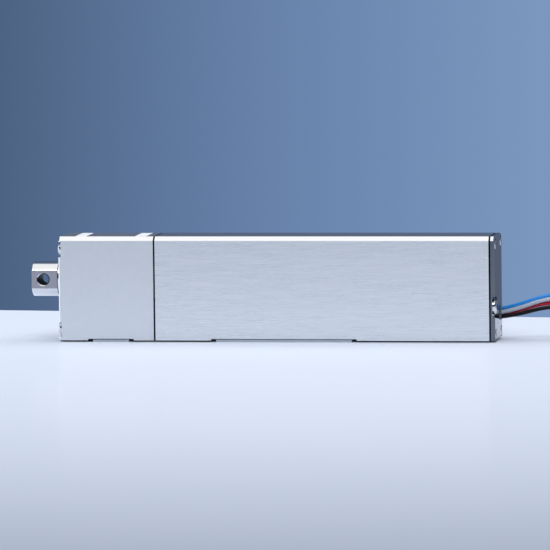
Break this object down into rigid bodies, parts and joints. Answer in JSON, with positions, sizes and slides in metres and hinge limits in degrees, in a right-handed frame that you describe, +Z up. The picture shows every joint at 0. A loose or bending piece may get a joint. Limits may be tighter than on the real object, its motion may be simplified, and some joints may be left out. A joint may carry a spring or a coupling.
{
  "type": "miniature linear servo actuator",
  "caption": "Slim rectangular linear servo actuator with a round rod, cross-drilled rod end, internal lead screw and gear drive, base pads and loose leads at the rear.",
  "frame": {"origin": "middle of the body's length and width, on the floor under the foot pads", "axes": "+X along the rod axis towards the lead end, the rod comes out along -X; +Z up"},
  "size_m": [0.2121, 0.0169, 0.03],
  "materials": {
    "housing_aluminium": "fine brushed, clear anodised",
    "cover_aluminium": "polished",
    "seal_rubber": "matt black",
    "screw_steel": "bright zinc plate",
    "pad_metal": "matt grey",
    "rod_steel": "polished",
    "bush_bronze": "plain turned",
    "slider_plastic": "plain",
    "magnet_nickel": "nickel plate",
    "bearing_steel": "ground",
    "gear_brass": "cut",
    "plate_aluminium": "milled",
    "motor_steel": "nickel plate",
    "black_plastic": "plain",
    "board_laminate": "lacquered green",
    "capacitor_tan": "plain",
    "cream_plastic": "plain",
    "lead_blue": "smooth",
    "lead_white": "smooth",
    "lead_red": "smooth",
    "lead_black": "smooth"
  },
  "bodies": {
    "housing": {"front_housing": "housing_aluminium", "main_housing": "housing_aluminium", "rear_cover": "cover_aluminium", "front_gasket": "seal_rubber", "rear_gasket": "seal_rubber", "rod_wiper": "seal_rubber", "stop_bumper": "seal_rubber", "lead_grommet": "seal_rubber", "front_screws": "screw_steel", "rear_cover_screws": "screw_steel", "frame_screw": "screw_steel", "gearhead_screws": "screw_steel", "front_foot_pad": "pad_metal", "main_foot_pad": "pad_metal", "guide_bush": "bush_bronze", "bearing_outer_rings": "bearing_steel", "bearing_balls": "bearing_steel", "gear_pillars": "bearing_steel", "bearing_plate": "plate_aluminium", "gear_plate": "plate_aluminium", "clamp_frame": "plate_aluminium", "motor_can": "motor_steel", "gearhead_case": "motor_steel", "motor_end_cap": "black_plastic", "encoder_cover": "black_plastic", "board_chips": "black_plastic", "position_sensors": "black_plastic", "hank_tie": "black_plastic", "control_board": "board_laminate", "encoder_board": "board_laminate", "board_capacitors": "capacitor_tan", "lead_header": "cream_plastic", "lead_connector": "cream_plastic", "wire_blue": "lead_blue", "wire_white": "lead_white", "wire_red": "lead_red", "wire_black": "lead_black", "wire_hank": "lead_black"},
    "rod": {"rod_end": "rod_steel", "rod_tube": "rod_steel", "drive_nut": "bush_bronze", "rod_carriage": "slider_plastic", "position_magnet": "magnet_nickel"},
    "screw": {"lead_screw": "bearing_steel", "screw_gear": "gear_brass", "bearing_inner_rings": "bearing_steel", "gear_clip": "bearing_steel"},
    "pinion": {"output_shaft": "bearing_steel", "drive_pinion": "gear_brass"}
  },
  "joints": [
    {"name": "rod_slide", "type": "slide", "parent": "housing", "child": "rod", "axis": [-1, 0, 0], "range_m": [0, 0.05]},
    {"name": "screw_spin", "type": "hinge", "parent": "housing", "child": "screw", "pos_m": [0, 0, 0.01745], "axis": [1, 0, 0], "continuous": true},
    {"name": "pinion_spin", "type": "hinge", "parent": "housing", "child": "pinion", "pos_m": [0, 0, 0.007], "axis": [1, 0, 0], "continuous": true}
  ],
  "couplings": [
    {"joint": "screw_spin", "follows": "rod_slide", "rad_per_m": 3141.6},
    {"joint": "pinion_spin", "follows": "rod_slide", "rad_per_m": -4284}
  ]
}
